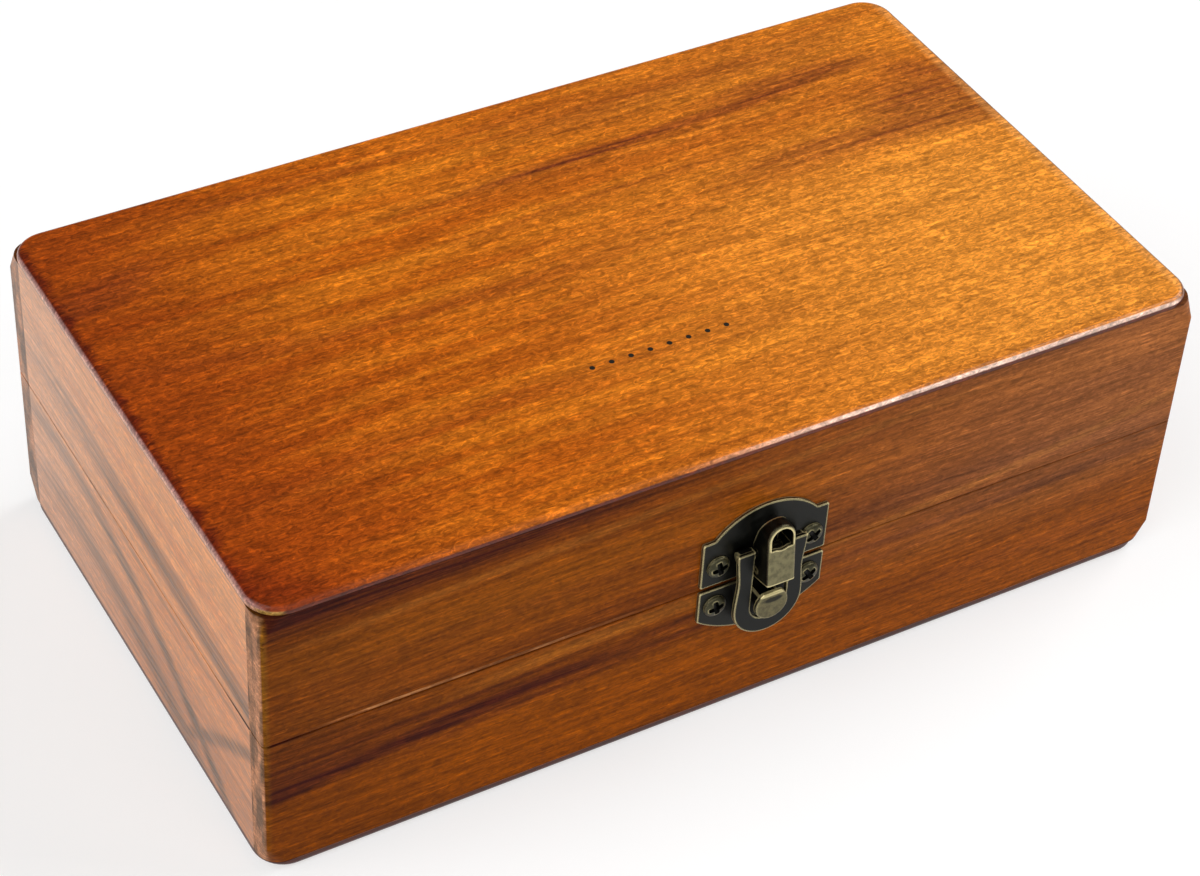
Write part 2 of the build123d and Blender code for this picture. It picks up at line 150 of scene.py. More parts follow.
class Board:
    """A wood material under construction: coordinates along, across and through the board."""

    def __init__(self, name, order, shift=(0, 0, 0), wander=6.0):
        self.material = bpy.data.materials.new(name)
        self.material.use_nodes = True
        self.tree = self.material.node_tree
        self.tree.nodes.clear()
        where = add(self.tree, "ShaderNodeTexCoord")
        self.normal = add(self.tree, "ShaderNodeSeparateXYZ", {0: where.outputs["Normal"]}).outputs
        place = add(self.tree, "ShaderNodeVectorMath", {
            0: where.outputs["Object"], 1: (MM_PER_METRE,) * 3}, operation="MULTIPLY").outputs[0]
        self.axes = add(self.tree, "ShaderNodeSeparateXYZ", {0: place}).outputs
        along_first = {i: self.axes[axis] for i, axis in enumerate(order)}
        self.place = add(self.tree, "ShaderNodeCombineXYZ", along_first).outputs[0]
        moved = add(self.tree, "ShaderNodeVectorMath", {0: self.place, 1: shift}, operation="ADD")
        figure = add(self.tree, "ShaderNodeGroup", node_tree=grain)
        figure.inputs["Wander"].default_value = wander
        self.tree.links.new(moved.outputs[0], figure.inputs["Place"])
        self.figure = figure.outputs

    def streaks(self, rows):
        """The streaks of the board together, each a parabola through three points of its face.

        A row holds the three points in millimetres, the half width, where along the board the
        streak starts and stops, the length over which it fades, and its strength.
        """
        total = 0.0
        for (a, b, c), half_width, start, stop, fade, strength in rows:
            rise, later_rise = ((p[1] - a[1]) / (p[0] - a[0]) for p in (b, c))
            bend = (later_rise - rise) / (c[0] - b[0])
            slope = rise - bend * (a[0] + b[0])
            height = a[1] - slope * a[0] - bend * a[0] ** 2
            one = add(self.tree, "ShaderNodeGroup", node_tree=streak)
            for label, value in (("Height", height), ("Slope", slope), ("Bend", bend),
                                 ("Half width", half_width), ("From", start), ("To", stop),
                                 ("Fade", fade), ("Strength", strength)):
                one.inputs[label].default_value = value
            self.tree.links.new(self.place, one.inputs["Place"])
            total = calc(self.tree, "MAXIMUM", total, one.outputs[0])
        return total

    def worked(self, colour, clouds, lines, fibres, mottle, flecks, pores):
        """The colour with clouds, growth lines, fibres, mottle, pale flecks and dark pores in it.

        Each amount is in stops: one stop more is twice as light.
        """
        stops = 0.0
        amounts = {"Clouds": clouds, "Lines": lines, "Fibres": fibres, "Mottle": mottle}
        for label, amount in amounts.items():
            part = calc(self.tree, "SUBTRACT", self.figure[label], 0.5)
            stops = calc(self.tree, "MULTIPLY_ADD", part, amount, stops)
        lighter = ramp(self.tree, self.figure["Flecks"], 0.62, 0.74, 0.0, flecks)
        stops = calc(self.tree, "ADD", stops, lighter)
        darker = ramp(self.tree, self.figure["Flecks"], 0.38, 0.26, 0.0, pores)
        stops = calc(self.tree, "SUBTRACT", stops, darker)
        return blend(self.tree, 1.0, colour, calc(self.tree, "POWER", 2.0, stops), "MULTIPLY")

    def finish(self, colour, roughness=(0.36, 0.52), level=0.5, coat=0.2):
        """Lacquer over the colour, with the fibres standing a little through it."""
        relief = 0.00003
        rough = ramp(self.tree, self.figure["Mottle"], 0.3, 0.7, *roughness)
        pull = calc(self.tree, "ADD", self.figure["Fibres"], self.figure["Mottle"])
        bump = add(self.tree, "ShaderNodeBump", {
            "Strength": 0.35, "Distance": relief, "Height": pull})
        shader = add(self.tree, "ShaderNodeBsdfPrincipled", {
            "Base Color": colour, "Roughness": rough, "Normal": bump.outputs[0], "IOR": 1.4,
            "Specular IOR Level": level, "Coat Weight": coat, "Coat Roughness": 0.13,
            "Coat IOR": 1.35})
        add(self.tree, "ShaderNodeOutputMaterial", {"Surface": shader.outputs[0]})
        return self.material


def dress(material, *names):
    """Give a finish to CAD nodes."""
    for name in names:
        nodes[name].data.materials.clear()
        nodes[name].data.materials.append(material)


seam, wall_top, floor_top = 30.66, 58.5, 2.0


def wall_board(name, order, along, shift, tones, rows, worked, level, edge=None):
    """A wall board: sapwood tones above and below, dark streaks, end grain at both ends.

    The tones are pale and middle sapwood, dark heart, and the low part near the table. Worked holds
    the stops of clouds, lines, fibres, mottle, flecks and pores, and level is the gloss.
    """
    board = Board(name, order, shift)
    tree = board.tree
    pale, middle, dark, low = [paint(*tone) for tone in tones]
    colour = blend(tree, ramp(tree, board.figure["Bands"], 0.38, 0.62), middle, pale)
    height = board.axes["Z"]
    colour = blend(tree, ramp(tree, height, 24, 14), colour, low)
    dark_bands = ramp(tree, board.figure["Bands"], 0.36, 0.22, 0, 0.6)
    shade = calc(tree, "MAXIMUM", board.streaks(rows), dark_bands)
    ragged = ramp(tree, board.figure["Lines"], 0.3, 0.6, 1.0, 0.6)
    shade = calc(tree, "MULTIPLY", shade, ragged)
    colour = blend(tree, shade, colour, dark)
    if edge:
        colour = edge(board, colour)
    # End grain drinks the stain and goes grey brown, with the growth rings cut across
    end = ramp(tree, calc(tree, "ABSOLUTE", board.normal[along]), 0.6, 0.85)
    rings = noise(tree, board.place, (400, 9, 2.6), 2.0, 0.6)
    end_colour = blend(tree, ramp(tree, rings, 0.35, 0.65), paint(112, 84, 64), paint(180, 126, 92))
    colour = blend(tree, end, colour, end_colour)
    # Glue line under the panels
    joint = calc(tree, "MAXIMUM", ramp(tree, height, wall_top - 0.3, wall_top - 0.08),
                 ramp(tree, height, floor_top + 0.3, floor_top + 0.08))
    colour = blend(tree, calc(tree, "MULTIPLY", joint, 0.6), colour, paint(48, 16, 8))
    colour = board.worked(colour, *worked)
    return board.finish(colour, level=level, coat=0.4 * level)


def sawn_edges(board, colour, axis, dark, pale, pale_low, pale_high):
    """Stain gathered in the sawn seam near the front left corner, and a painted highlight along the
    edge further on.

    Dark gives where its line starts and is full, and pale where its line starts, is full, fades and
    ends. The pale line lies between two heights above the seam.
    """
    tree = board.tree
    off = calc(tree, "SUBTRACT", board.axes["Z"], seam)
    stained = calc(tree, "MULTIPLY", ramp(tree, calc(tree, "ABSOLUTE", off), 0.42, 0.24),
                   ramp(tree, board.axes[axis], *dark, 0.2, 0.95))
    colour = blend(tree, stained, colour, paint(58, 18, 8))
    # A painted highlight: the pale line just above the seam
    soft = 0.12
    wear_and_highlight = calc(tree, "MULTIPLY", ramp(tree, off, pale_low - soft, pale_low),
                  ramp(tree, off, pale_high + soft, pale_high))
    start, full, fades, ends = pale
    wear_and_highlight = calc(tree, "MULTIPLY", wear_and_highlight, ramp(tree, board.axes[axis], start, full, 0.0, 0.4))
    wear_and_highlight = calc(tree, "MULTIPLY", wear_and_highlight, ramp(tree, board.axes[axis], ends, fades))
    wear_and_highlight = calc(tree, "MULTIPLY", wear_and_highlight, ramp(tree, board.figure["Fibres"], 0.35, 0.6, 0.4, 1.0))
    return blend(tree, wear_and_highlight, colour, paint(214, 158, 104))


def left_face(board, colour):
    """The left end pales towards the back: a painted sheen, as of light glancing off it."""
    share = ramp(board.tree, board.axes["Y"], -14, 48, 0.0, 0.5)
    colour = blend(board.tree, share, colour, paint(212, 164, 134))
    return sawn_edges(board, colour, "Y", (-30, -46), (4, 30, 60, 70), -0.9, -0.4)


def front_face(board, colour):
    """The front darkens to the left, pales to the right, and its left edge is rubbed bare."""
    tree = board.tree
    darker = ramp(tree, board.axes["X"], -44, -90)
    colour = blend(tree, darker, colour, paint(224, 222, 255), "MULTIPLY")
    colour = blend(tree, board.streaks(front_pale_rows), colour, paint(164, 98, 30))
    share = calc(tree, "MULTIPLY", ramp(tree, board.axes["X"], -20, 86, 0.0, 0.3),
                 ramp(tree, board.axes["Z"], 14, 34, 0.2, 1.0))
    colour = blend(tree, share, colour, paint(186, 126, 84))
    colour = sawn_edges(board, colour, "X", (-76, -88), (-84, -66, -50, -14), 0.4, 0.8)
    rub = ramp(tree, board.axes["X"], -88.3, -89.6, 0.0, 0.85)
    rub = calc(tree, "MULTIPLY", rub, ramp(tree, board.axes["Z"], 14, 50, 0.3, 0.9))
    rub = calc(tree, "MULTIPLY", rub, ramp(tree, board.figure["Mottle"], 0.3, 0.55, 0.45, 1.0))
    return blend(tree, rub, colour, paint(134, 88, 22))


front_rows = [
    (((-88, 18.3), (-56, 21.6), (-9, 23.6)), 1.9, -140, 0, 50, 1.3),
    (((-88, 24.0), (-60, 25.0), (-30, 26.5)), 0.9, -130, -10, 40, 0.8),
    (((-92, 20.4), (-80, 21.6), (-62, 23.0)), 2.9, -140, -58, 24, 0.85),
    (((-50, 19.0), (-9, 22.0), (30, 22.8)), 0.9, -80, 60, 40, 0.7),
    (((-9, 25.0), (30, 26.2), (90, 27.0)), 1.2, -60, 110, 40, 0.6),
    (((0, 33.5), (40, 35.8), (90, 31.0)), 2.6, -20, 140, 50, 0.5),
    (((-80, 34.0), (-40, 33.0), (0, 33.5)), 2.4, -110, 30, 50, 0.4),
    (((-90, 56.9), (-55, 57.4), (-20, 58.2)), 2.9, -150, 16, 70, 1.25),
    (((-92, 27.2), (-80, 27.2), (-60, 28.5)), 3.4, -140, -52, 30, 0.4),
    (((-90, 43.0), (-40, 42.0), (60, 44.0)), 1.3, -110, 70, 60, 0.3),
    (((20, 13.0), (50, 12.0), (90, 10.0)), 1.8, 0, 120, 40, 0.3),
]
front_pale_rows = [
    (((-50, 27.6), (-30, 28.6), (-9, 28.4)), 1.4, -66, 20, 30, 0.5),
    (((-60, 51.5), (-20, 53.0), (30, 55.0)), 1.0, -100, 60, 40, 0.4),
    (((10, 30.0), (50, 33.0), (90, 38.0)), 0.9, -20, 120, 40, 0.5),
]
front_tones = ((142, 74, 7), (126, 62, 6), (70, 24, 12), (138, 68, 2))
dress(wall_board("front board", "XZY", "X", (0, 0, 0), front_tones, front_rows,
                 (0.9, 2.1, 1.7, 2.1, 0.6, 0.4), 0.05, front_face),
      "lid_front_wall", "base_front_wall")

left_rows = [
    (((40, 40.5), (0, 39.0), (-47, 34.4)), 2.9, -70, 60, 25, 0.95),
    (((48, 46.0), (20, 42.5), (-12, 38.5)), 1.8, -40, 60, 25, 0.8),
    (((42, 26.5), (3, 22.4), (-32, 5.5)), 2.3, -70, 60, 20, 1.1),
    (((30, 14.5), (3, 10.5), (-20, 3.0)), 3.6, -70, 54, 20, 0.9),
    (((-47, 24.7), (-40, 20.0), (-26, 9.6)), 1.9, -70, -12, 10, 0.9),
    (((20, 31.0), (-10, 28.8), (-40, 28.0)), 0.8, -60, 40, 30, 0.7),
]
# The left end's tones are paler than the other boards', partly the wood and partly a painted sheen
left_end_tones_with_sheen = ((210, 139, 83), (200, 127, 75), (96, 70, 46), (186, 120, 74))
dress(wall_board("left end board", "YZX", "Y", (11, 23, 5), left_end_tones_with_sheen, left_rows,
                 (0.5, 1.3, 1.2, 1.6, 0.12, 0.15), 0.5, left_face),
      "lid_left_wall", "base_left_wall")

right_rows = [
    (((-50, 20.0), (0, 26.0), (50, 24.0)), 2.4, -80, 80, 30, 0.9),
    (((-50, 46.0), (0, 41.0), (50, 44.0)), 1.8, -80, 30, 40, 0.6),
]
right_tones = ((168, 96, 36), (150, 82, 28), (92, 44, 24), (160, 90, 28))
dress(wall_board("right end board", "YZX", "Y", (61, -17, 40), right_tones, right_rows,
                 (0.8, 1.8, 1.6, 2.4, 0.4, 0.3), 0.3),
      "lid_right_wall", "base_right_wall")

back_rows = [
    (((-90, 38.0), (0, 33.0), (90, 36.0)), 3.0, -140, 140, 50, 0.8),
    (((-90, 14.0), (0, 18.0), (90, 12.0)), 2.0, -60, 140, 60, 0.7),
]
back_tones = ((158, 88, 22), (140, 74, 16), (88, 34, 16), (160, 86, 16))
dress(wall_board("back board", "XZY", "X", (310, 61, 12), back_tones, back_rows,
                 (0.8, 1.8, 1.6, 2.4, 0.4, 0.3), 0.3),
      "lid_back_wall", "base_back_wall")


# Top panel: one thin board over the walls, its rim rounded and its corners sanded. The stain is
# darkest along the front and in a band at the left edge, the left end is painted darker, partly as
# painted shade, and the lacquer is thick and glossy. Eight small dots are printed in a row near the
# front.
board = Board("top board", "XYZ", (0, 0, 0), 5.0)
tree = board.tree
across, along = board.axes["Y"], board.axes["X"]
patches = calc(tree, "ADD", board.figure["Bands"], board.figure["Clouds"])
patches = calc(tree, "MULTIPLY", patches, 0.5)
colour = blend(tree, ramp(tree, patches, 0.38, 0.62), paint(176, 84, 5), paint(198, 109, 17))
# Painted light and shade: the right front half is palest and the left end darkest, partly the
# wood's own tone
paler_and_lit = calc(tree, "MULTIPLY", ramp(tree, along, -40, 78), ramp(tree, across, 26, -8, 0.3, 1.0))
colour = blend(tree, paler_and_lit, colour, paint(222, 138, 44))
colour = blend(tree, ramp(tree, along, -28, -90, 0.0, 0.9), colour, paint(140, 54, 2))
top_rows = [
    (((16, 30.3), (46, 31.6), (79, 33.6)), 1.4, -30, 86, 40, 1.0),
    (((40, 34.6), (60, 35.0), (80, 34.4)), 2.8, 30, 88, 24, 0.75),
    (((-5, 29.0), (40, 28.0), (80, 27.0)), 3.2, -60, 84, 60, 0.3),
    (((10, 41.0), (50, 42.0), (86, 43.5)), 3.6, -20, 92, 40, 0.45),
    (((46, 13.2), (62, 13.0), (90, 10.5)), 3.8, 20, 120, 34, 0.75),
    (((66, 19.0), (78, 20.0), (90, 19.0)), 6.0, 56, 130, 20, 0.85),
    (((76, 28.0), (84, 26.0), (92, 22.0)), 3.6, 72, 130, 12, 0.75),
    (((-20, 17.0), (10, 18.5), (40, 18.0)), 1.4, -40, 60, 30, 0.3),
    (((-60, 44.0), (-20, 45.5), (30, 44.0)), 1.6, -90, 50, 50, 0.3),
    (((-80, 8.0), (-40, 3.0), (20, 6.0)), 2.4, -110, 40, 60, 0.25),
    (((-80, -30.0), (-30, -24.0), (30, -27.0)), 2.8, -110, 60, 60, 0.2),
    (((-90, 29.0), (-80, 31.0), (-66, 35.0)), 4.0, -120, -64, 14, 0.5),
]
ragged = ramp(tree, board.figure["Lines"], 0.3, 0.6, 1.0, 0.55)
shade = calc(tree, "MULTIPLY", board.streaks(top_rows), ragged)
colour = blend(tree, shade, colour, paint(112, 44, 20))
# Stain gathered in a ragged band along the left edge, in the front left corner and in front
edge = calc(tree, "MULTIPLY_ADD", noise(tree, board.place, (8, 5, 5), 2.0), 7.0, along)
edge = calc(tree, "MULTIPLY_ADD", board.figure["Mottle"], 2.0, edge)
burnt = ramp(tree, edge, -82.6, -85.4, 0.0, 0.85)
colour = blend(tree, burnt, colour, paint(84, 18, 4))
corner = calc(tree, "ADD", calc(tree, "MULTIPLY", along, -0.7),
              calc(tree, "MULTIPLY", across, -0.7))
colour = blend(tree, ramp(tree, corner, 84, 94, 0.0, 0.7), colour, paint(112, 34, 2))
front_edge = calc(tree, "ADD", across, calc(tree, "MULTIPLY", board.figure["Mottle"], 4.0))
colour = blend(tree, ramp(tree, front_edge, -46, -50, 0.0, 0.3), colour, paint(150, 62, 6))
# The rounded rim has a painted pale highlight along the right of the front and at the left end. The
# right end has a painted pale highlight line and then a dark rim.
rim = calc(tree, "MULTIPLY", ramp(tree, board.normal["Y"], -0.5, -0.75),
           ramp(tree, along, -20, 26, 0.0, 0.95))
colour = blend(tree, rim, colour, paint(240, 206, 188))
left_rim_highlight = ramp(tree, board.normal["X"], -0.5, -0.8, 0.0, 0.6)
colour = blend(tree, left_rim_highlight, colour, paint(184, 140, 132))
right_edge_highlight = ramp(tree, along, 86.8, 88.4, 0.0, 0.35)
colour = blend(tree, right_edge_highlight, colour, paint(236, 166, 92))
right_rim = ramp(tree, board.normal["X"], 0.2, 0.5, 0.0, 0.85)
colour = blend(tree, right_rim, colour, paint(92, 38, 16))
# The sides are dark in front, pale at the left with the wall's painted sheen, and bare on the front
# corner
side = ramp(tree, board.axes["Z"], wall_top + 0.85, wall_top + 0.55)
turned = ramp(tree, board.normal["X"], -0.75, -0.95)
bare = calc(tree, "MULTIPLY", ramp(tree, board.normal["X"], -0.12, -0.4),
            ramp(tree, board.normal["Y"], -0.12, -0.4))
side_colour = blend(tree, bare, paint(92, 34, 10), paint(166, 126, 62))
side_colour = blend(tree, turned, side_colour, paint(196, 142, 116))
colour = blend(tree, side, colour, side_colour)
# Inside the lid the board has only a thin coat of stain
colour = blend(tree, ramp(tree, board.normal["Z"], -0.5, -0.9), colour, paint(168, 98, 40))
colour = board.worked(colour, 1.0, 1.3, 1.5, 3.6, 0.3, 0.35)
# The printed dots
dots, dot_start, dot_pitch, dot_line, dot_radius, dot_soft = 8, -15.4, 3.757, -22.9, 0.5, 0.06
share = calc(tree, "DIVIDE", calc(tree, "SUBTRACT", along, dot_start), dot_pitch)
nearest = calc(tree, "MINIMUM", calc(tree, "MAXIMUM", calc(tree, "ROUND", share), 0.0), dots - 1.0)
off_x = calc(tree, "MULTIPLY", calc(tree, "SUBTRACT", share, nearest), dot_pitch)
off_y = calc(tree, "SUBTRACT", across, dot_line)
off = calc(tree, "ADD", calc(tree, "MULTIPLY", off_x, off_x), calc(tree, "MULTIPLY", off_y, off_y))
ink = ramp(tree, calc(tree, "SQRT", off), dot_radius + dot_soft, dot_radius - dot_soft)
ink = calc(tree, "MULTIPLY", ink, ramp(tree, board.axes["Z"], wall_top + 1.0, wall_top + 1.4))
colour = blend(tree, ink, colour, paint(34, 32, 26))
dress(board.finish(colour, (0.3, 0.42), 0.22, 0.45), "top_panel")


# Bottom panel: the same thin board, glued under the walls, its lower edge rounded over. Its rim is
# dark all round, and inside and underneath it has only a thin coat.
board = Board("bottom board", "XYZ", (120, 77, 9), 5.0)
tree = board.tree
bands = ramp(tree, board.figure["Bands"], 0.36, 0.64)
colour = blend(tree, bands, paint(150, 84, 30), paint(184, 112, 50))
side = ramp(tree, board.axes["Z"], 0.02, 0.6)
inside = ramp(tree, board.axes["Z"], floor_top - 0.1, floor_top - 0.02)
rim = calc(tree, "MULTIPLY", side, calc(tree, "SUBTRACT", 1.0, inside))
colour = blend(tree, rim, colour, paint(70, 22, 12))
colour = board.worked(colour, 0.9, 1.2, 1.4, 2.4, 0.3, 0.3)
dress(board.finish(colour), "bottom_panel")


# Latch lid plate: stamped sheet brass, plated antique bronze, its rim polished back to brass by
# tumbling. Two pan-head screws hold it to the lid, and two lugs carry the lever's pin.

brass = (226, 212, 158)
rubbed_line, edge_reach, corner_reach = -0.0558, 0.0004, 0.0016


def bronze(name, patina, face=None, hollow=None, rim=None):
    """Antique bronze: dark plating, bare brass on the edges, soot and painted shade in the corners.

    A face colour shows where the piece is rubbed: on what stands furthest out of the box. A hollow,
    with its middle and half sizes in millimetres, is painted shade of a dent in that face, under a
    painted highlight on its lip.
    The rim values, cosines, leave the edges of flat faces plated, so that only a round head shows
    brass. Lengths in the shader are in metres.
    """
    material = bpy.data.materials.new(name)
    material.use_nodes = True
    tree = material.node_tree
    tree.nodes.clear()
    where = add(tree, "ShaderNodeTexCoord").outputs
    cloud = add(tree, "ShaderNodeTexNoise", {
        "Vector": where["Object"], "Scale": 900.0, "Detail": 4.0, "Roughness": 0.65}).outputs[0]
    grit = add(tree, "ShaderNodeTexNoise", {
        "Vector": where["Object"], "Scale": 5200.0, "Detail": 2.0}).outputs[0]
    bright = tuple(min(1.0, 1.7 * channel) for channel in patina[:3]) + (1,)
    colour = blend(tree, ramp(tree, cloud, 0.3, 0.75), patina, bright)
    looks = add(tree, "ShaderNodeSeparateXYZ", {0: where["Normal"]}).outputs["Y"]
    if face:
        stands = add(tree, "ShaderNodeSeparateXYZ", {0: where["Object"]}).outputs["Y"]
        dull = paint(*[0.75 * channel for channel in face])
        wear_and_highlight = blend(tree, ramp(tree, cloud, 0.35, 0.65), dull, paint(*face))
        share = calc(tree, "MULTIPLY", ramp(tree, looks, -0.55, -0.85),
                     ramp(tree, stands, rubbed_line, rubbed_line - 0.0003))
        colour = blend(tree, share, colour, wear_and_highlight)
    if hollow:
        middle_x, middle_z, half_wide, half_high = hollow
        spot = add(tree, "ShaderNodeVectorMath", {0: where["Object"], 1: (MM_PER_METRE,) * 3},
                   operation="MULTIPLY")
        spot = add(tree, "ShaderNodeSeparateXYZ", {0: spot.outputs[0]}).outputs
        off_x = calc(tree, "DIVIDE", calc(tree, "SUBTRACT", spot["X"], middle_x), half_wide)
        off_z = calc(tree, "DIVIDE", calc(tree, "SUBTRACT", spot["Z"], middle_z), half_high)
        off = calc(tree, "ADD", calc(tree, "MULTIPLY", off_x, off_x),
                   calc(tree, "MULTIPLY", off_z, off_z))
        off = calc(tree, "MULTIPLY_ADD", cloud, 0.8, off)
        # Painted shade in the dent, and a painted highlight on the lip above it
        dent_shade = calc(tree, "MULTIPLY", share, ramp(tree, off, 1.5, 0.8, 0.0, 0.9))
        colour = blend(tree, dent_shade, colour, paint(18, 16, 10))
        lip_highlight = calc(tree, "MULTIPLY", ramp(tree, stands, rubbed_line + 0.0002, rubbed_line),
                   ramp(tree, off_z, 1.2, 1.7, 0.0, 0.85))
        colour = blend(tree, lip_highlight, colour, paint(214, 200, 146))
    edges = add(tree, "ShaderNodeAmbientOcclusion", {"Distance": edge_reach}, inside=True,
                only_local=True, samples=12)
    worn = ramp(tree, edges.outputs["AO"], 0.95, 0.66)
    worn = calc(tree, "MULTIPLY", worn, ramp(tree, cloud, 0.25, 0.5, 0.6, 1.0))
    if rim:
        worn = calc(tree, "MULTIPLY", worn, ramp(tree, calc(tree, "ABSOLUTE", looks), *rim))
    colour = blend(tree, worn, colour, paint(*brass))
    # Soot and painted shade: near black where other pieces stand close, as around heads and under
    # the lever
    corners = add(tree, "ShaderNodeAmbientOcclusion", {"Distance": corner_reach},
                  only_local=False, samples=12)
    soot_and_shade = ramp(tree, corners.outputs["AO"], 0.72, 0.3, 0.0, 0.96)
    # Screw recesses are painted near black: soot and painted shade
    recess_soot_and_shade = add(tree, "ShaderNodeAttribute", attribute_name="recess_soot_and_shade").outputs["Fac"]
    soot_and_shade = calc(tree, "MAXIMUM", soot_and_shade, recess_soot_and_shade)
    colour = blend(tree, soot_and_shade, colour, paint(10, 9, 7))
    rough = ramp(tree, cloud, 0.3, 0.7, 0.3, 0.5)
    bump = add(tree, "ShaderNodeBump", {
        "Strength": 0.25, "Distance": 0.00002, "Height": grit})
    shader = add(tree, "ShaderNodeBsdfPrincipled", {
        "Base Color": colour, "Metallic": 0.85, "Roughness": rough, "Normal": bump.outputs[0]})
    add(tree, "ShaderNodeOutputMaterial", {"Surface": shader.outputs[0]})
    return material


dark_bronze = bronze("dark bronze", paint(23, 23, 20))
dress(dark_bronze, "latch_lid_plate")


# Latch keeper: a narrow plate of the same stamped brass on the base, held by two pan-head screws,
# with a cup-shaped hook pressed out of it. The loop has rubbed the face of the hook bright. A dent
# under its lip is painted on that face as shade, and the lip as a highlight.
painted_hook_dent = (2.7, 27.5, 2.1, 0.65)
dress(bronze("keeper bronze", paint(24, 24, 20), (112, 104, 72), painted_hook_dent), "latch_keeper")


# Latch lever: a channel folded from sheet brass, with an arched top and a window under it. It
# turns on a pin between the lugs of the lid plate, and fingers have rubbed its face bright.
# Its sides keep a darker plating than the lid plate's, partly the plating and partly painted shade
dress(bronze("lever bronze", paint(20, 19, 14), (128, 121, 88)), "latch_lever")


# Latch loop: a slotted tongue stamped from sheet brass and plated nearly black. It hangs from the
# lever by a pin through its two eyes, and drops over the keeper's hook.
dress(bronze("loop bronze", paint(19, 20, 18)), "latch_loop")


# Latch pins: two plain lengths of brass wire, plated like the plate. One runs through the lugs
# and the sides of the lever, the other through the lever and the eyes of the loop.
dress(dark_bronze, "lever_pin", "loop_pin")


# Hinges: two small butt hinges on the back, stamped and rolled from sheet brass and plated like the
# latch. Two countersunk screws hold each leaf, and the pin runs through all the knuckles.
for side in ("left", "right"):
    dress(dark_bronze, f"{side}_hinge_lid_leaf", f"{side}_hinge_base_leaf", f"{side}_hinge_pin")


# Screws: bronze plated steel wood screws with a cross recess, pan heads in the latch and oval
# countersunk heads in the hinges. The thread runs down to a gimlet point.
INTEGER, MATERIAL, GEOMETRY = "NodeSocketInt", "NodeSocketMaterial", "NodeSocketGeometry"
screw_tree, given, made = group(
    "GeometryNodeTree", "wood screws",
    [("Head radius", FLOAT, 2.15), ("Head height", FLOAT, 1.1), ("Rim height", FLOAT, 0.35),
     ("Sink depth", FLOAT, 0.0), ("Shank radius", FLOAT, 0.9), ("Shank length", FLOAT, 4.4),
     ("Point length", FLOAT, 1.4), ("Thread depth", FLOAT, 0.22), ("Thread pitch", FLOAT, 0.9),
     ("Recess length", FLOAT, 2.6), ("Recess width", FLOAT, 0.75), ("Recess depth", FLOAT, 0.8),
     ("Pairs", INTEGER, 1), ("Pair pitch", FLOAT, 0.0), ("Screw pitch", FLOAT, 18.5),
     ("First turn", FLOAT, 0.2), ("Turn step", FLOAT, 0.37), ("Tilt", FLOAT, pi / 2),
     ("Place", VECTOR, None), ("Material", MATERIAL, None)],
    [("Geometry", GEOMETRY, None)],
)
dome_rings, thread_rings, point_rings, around = 8, 30, 6, 32
rings = dome_rings + 2 + thread_rings + point_rings
# A flat sheet, one column for each step around and one row for each ring, lathed into a screw
sheet = add(screw_tree, "GeometryNodeMeshGrid", {
    "Size X": 1.0, "Size Y": 1.0, "Vertices X": around + 1,
    "Vertices Y": rings + 1}).outputs["Mesh"]
at = add(screw_tree, "GeometryNodeInputPosition").outputs[0]
at = add(screw_tree, "ShaderNodeSeparateXYZ", {0: at}).outputs
angle = calc(screw_tree, "MULTIPLY", calc(screw_tree, "ADD", at["X"], 0.5), 2 * pi)
ring = calc(screw_tree, "MULTIPLY", calc(screw_tree, "ADD", at["Y"], 0.5), float(rings))


def stage(first, count):
    """How far, 0 to 1, a ring lies within one part of the screw's profile."""
    past = calc(screw_tree, "SUBTRACT", ring, float(first))
    return calc(screw_tree, "DIVIDE", past, float(count), clamp=True)


dome = calc(screw_tree, "MULTIPLY", stage(0, dome_rings), pi / 2)
rim = stage(dome_rings, 1)
under = stage(dome_rings + 1, 1)
shank = stage(dome_rings + 2, thread_rings)
point = stage(dome_rings + 2 + thread_rings, point_rings)
crown = calc(screw_tree, "SUBTRACT", given["Head height"], given["Rim height"])
shank_run = calc(screw_tree, "SUBTRACT", given["Shank length"], given["Point length"])
shank_run = calc(screw_tree, "SUBTRACT", shank_run, given["Sink depth"])
height = calc(screw_tree, "COSINE", dome)
height = calc(screw_tree, "MULTIPLY_ADD", height, crown, given["Rim height"])
for share, drop in ((rim, given["Rim height"]), (under, given["Sink depth"]), (shank, shank_run),
                    (point, given["Point length"])):
    height = calc(screw_tree, "SUBTRACT", height, calc(screw_tree, "MULTIPLY", share, drop))
turns = calc(screw_tree, "DIVIDE", height, given["Thread pitch"])
turns = calc(screw_tree, "ADD", turns, calc(screw_tree, "DIVIDE", angle, 2 * pi))
groove = calc(screw_tree, "MULTIPLY", calc(screw_tree, "PINGPONG", turns, 0.5), 2.0)
groove = calc(screw_tree, "MULTIPLY", groove, given["Thread depth"])
groove = calc(screw_tree, "MULTIPLY", groove, under)
core = calc(screw_tree, "SUBTRACT", given["Shank radius"], groove)
radius = calc(screw_tree, "MULTIPLY", calc(screw_tree, "SINE", dome), given["Head radius"])
step = calc(screw_tree, "SUBTRACT", core, given["Head radius"])
radius = calc(screw_tree, "MULTIPLY_ADD", under, step, radius)
radius = calc(screw_tree, "MULTIPLY", radius, calc(screw_tree, "SUBTRACT", 1.0, point))
lathed = add(screw_tree, "ShaderNodeCombineXYZ", {
    "X": calc(screw_tree, "MULTIPLY", radius, calc(screw_tree, "COSINE", angle)),
    "Y": calc(screw_tree, "MULTIPLY", radius, calc(screw_tree, "SINE", angle)),
    "Z": height}).outputs[0]
body = add(screw_tree, "GeometryNodeSetPosition", {
    "Geometry": sheet, "Position": lathed}).outputs[0]
body = add(screw_tree, "GeometryNodeMergeByDistance", {
    "Geometry": body, "Distance": 0.0005}).outputs[0]
